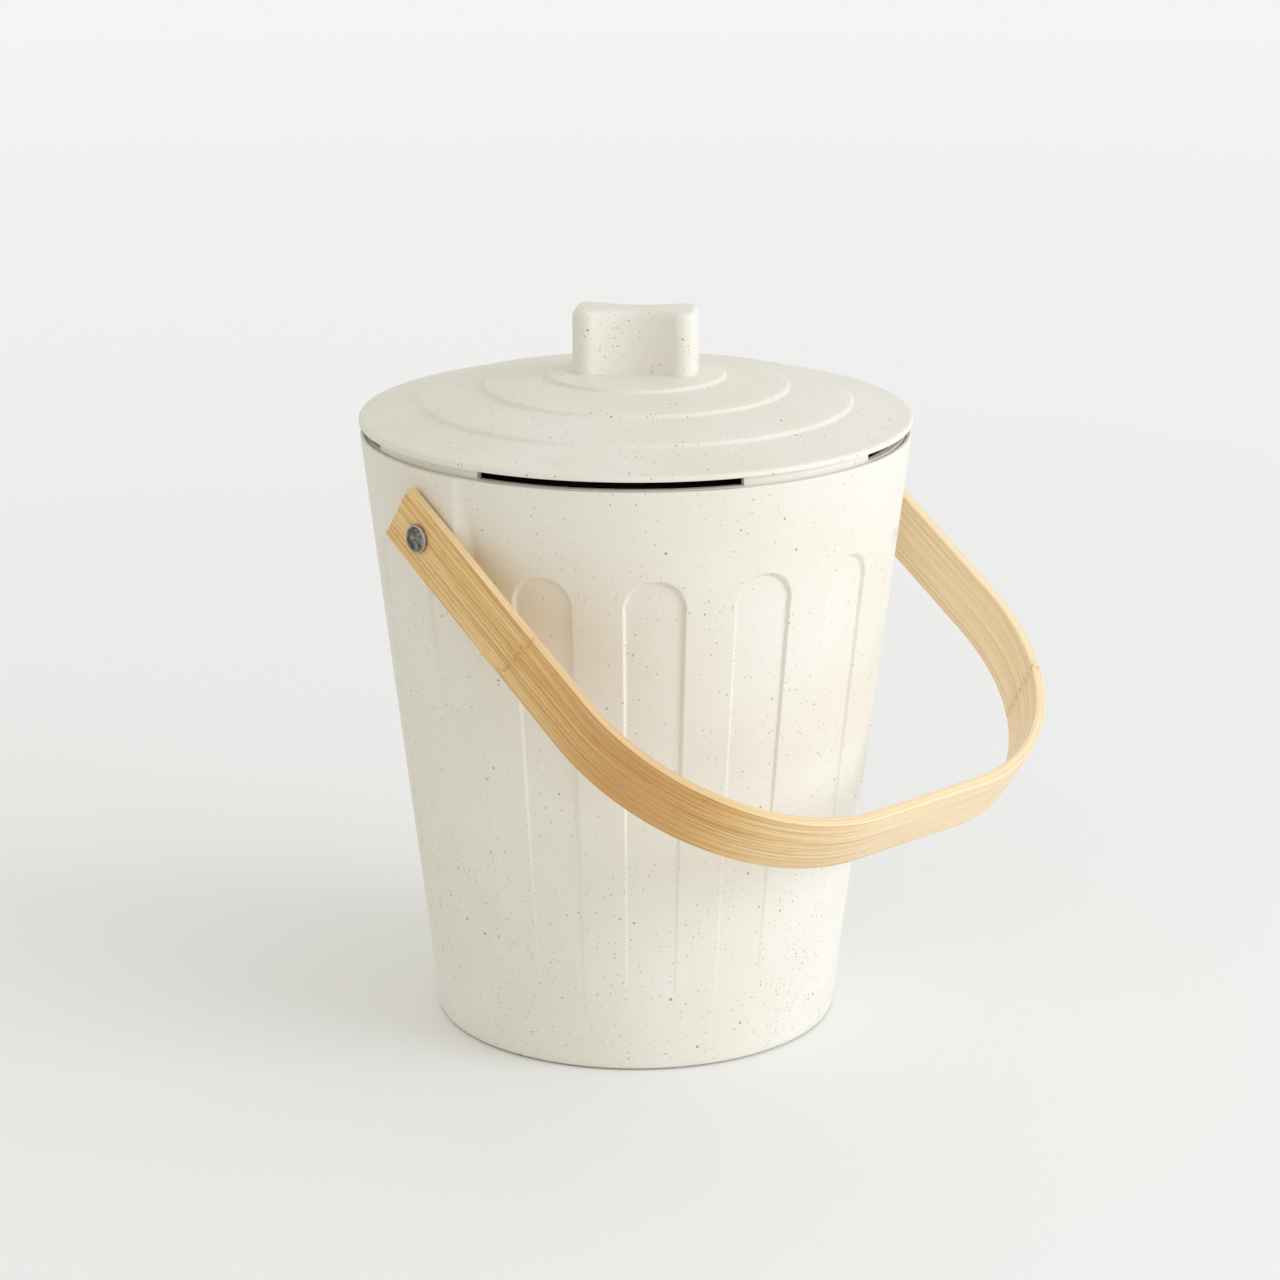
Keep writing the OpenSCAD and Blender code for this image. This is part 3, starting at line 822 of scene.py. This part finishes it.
VIEW_TURN = math.radians(44.2)
VIEW_TILT = math.radians(16.11)
LENS_MM = 107.33
SENSOR_MM = 36
# right of the pail's middle, beyond it and above the floor, as the camera looks
VIEW_PLACE = (0.0014, -1.2795, 0.5023)
WINDOW_PLACE = (1.57, -0.67, 0.75)
WINDOW_SIZE = (1.2, 0.7)
WINDOW_WATTS = 16.0
WINDOW_TINT = (0.815, 0.875, 1.0)
PAIL_MIDDLE = (0, 0, 0.12)


def seen_directly(nodes, links):
    """1 where the background is looked at, itself or in gloss or through a clear thing, else 0."""
    path = nodes.new("ShaderNodeLightPath")
    seen = path.outputs["Is Camera Ray"]
    for kind in ("Is Glossy Ray", "Is Transmission Ray"):
        either = nodes.new("ShaderNodeMath")
        either.operation = "MAXIMUM"
        links.new(seen, either.inputs[0])
        links.new(path.outputs[kind], either.inputs[1])
        seen = either.outputs[0]
    return seen


def studio_floor():
    """A wide pale floor that keeps the shadow and fades into the backdrop away from the pail."""
    finish = Finish("pale_floor")
    corners = [(-FLOOR_HALF, -FLOOR_HALF, 0), (FLOOR_HALF, -FLOOR_HALF, 0),
               (FLOOR_HALF, FLOOR_HALF, 0), (-FLOOR_HALF, FLOOR_HALF, 0)]
    floor = piece_from("floor", corners, [(0, 1, 2, 3)])
    material = finish.paint(Base_Color=FLOOR_SHADE, Roughness=0.6)
    nodes = material.node_tree.nodes
    links = material.node_tree.links
    far = finish.node("ShaderNodeVectorMath", {"operation": "LENGTH"}, "Value",
                      Vector=finish.object_place())
    fade = finish.ramp(far / FADE_REACH, (0.03, 0.0), (0.08, 0.35), (0.25, 0.75), (0.7, 1.0))
    fade = fade * Wire(finish, seen_directly(nodes, links))
    glow = nodes.new("ShaderNodeEmission")
    glow.inputs["Color"].default_value = (*BACKDROP, 1)
    mixed = nodes.new("ShaderNodeMixShader")
    surface = nodes["Material Output"].inputs["Surface"]
    links.new(fade.socket, mixed.inputs[0])
    links.new(surface.links[0].from_socket, mixed.inputs[1])
    links.new(glow.outputs[0], mixed.inputs[2])
    links.new(mixed.outputs[0], surface)
    wear(floor, material)


def studio_world():
    """Even light all round, and a near-white background where it is looked at."""
    world = bpy.data.worlds.new("studio")
    bpy.context.scene.world = world
    world.use_nodes = True
    nodes = world.node_tree.nodes
    links = world.node_tree.links
    light = nodes["Background"]
    light.inputs["Color"].default_value = (*DAYLIGHT, 1)
    light.inputs["Strength"].default_value = DAYLIGHT_STRENGTH
    backdrop = nodes.new("ShaderNodeBackground")
    backdrop.inputs["Color"].default_value = (*BACKDROP, 1)
    mixed = nodes.new("ShaderNodeMixShader")
    links.new(seen_directly(nodes, links), mixed.inputs[0])
    links.new(light.outputs[0], mixed.inputs[1])
    links.new(backdrop.outputs[0], mixed.inputs[2])
    links.new(mixed.outputs[0], nodes["World Output"].inputs["Surface"])


def from_view(right, ahead, up):
    """A place given to the right of and beyond the pail's middle, as the camera looks."""
    s, c = math.sin(VIEW_TURN), math.cos(VIEW_TURN)
    return Vector((right * c + ahead * s, -right * s + ahead * c, up))


def window_light():
    """A broad soft light on the camera's right that faces the pail's middle."""
    data = bpy.data.lights.new("window", "AREA")
    data.shape = "RECTANGLE"
    data.size, data.size_y = WINDOW_SIZE
    data.energy = WINDOW_WATTS
    data.color = WINDOW_TINT
    lamp = bpy.data.objects.new("window", data)
    place = from_view(*WINDOW_PLACE)
    lamp.location = place
    lamp.rotation_euler = (Vector(PAIL_MIDDLE) - place).to_track_quat("-Z", "Y").to_euler()
    bpy.context.scene.collection.objects.link(lamp)


def studio_camera():
    """A long lens off the pail's front left, looking a little down on it."""
    data = bpy.data.cameras.new("view")
    data.sensor_width = SENSOR_MM
    data.lens = LENS_MM
    camera = bpy.data.objects.new("view", data)
    camera.location = from_view(*VIEW_PLACE)
    camera.rotation_euler = (math.pi / 2 - VIEW_TILT, 0, -VIEW_TURN)
    bpy.context.scene.collection.objects.link(camera)
    bpy.context.scene.camera = camera


def studio():
    """Floor, background, light and camera."""
    studio_floor()
    studio_world()
    window_light()
    studio_camera()
    bpy.context.scene.view_settings.view_transform = "Standard"


dress()
studio()
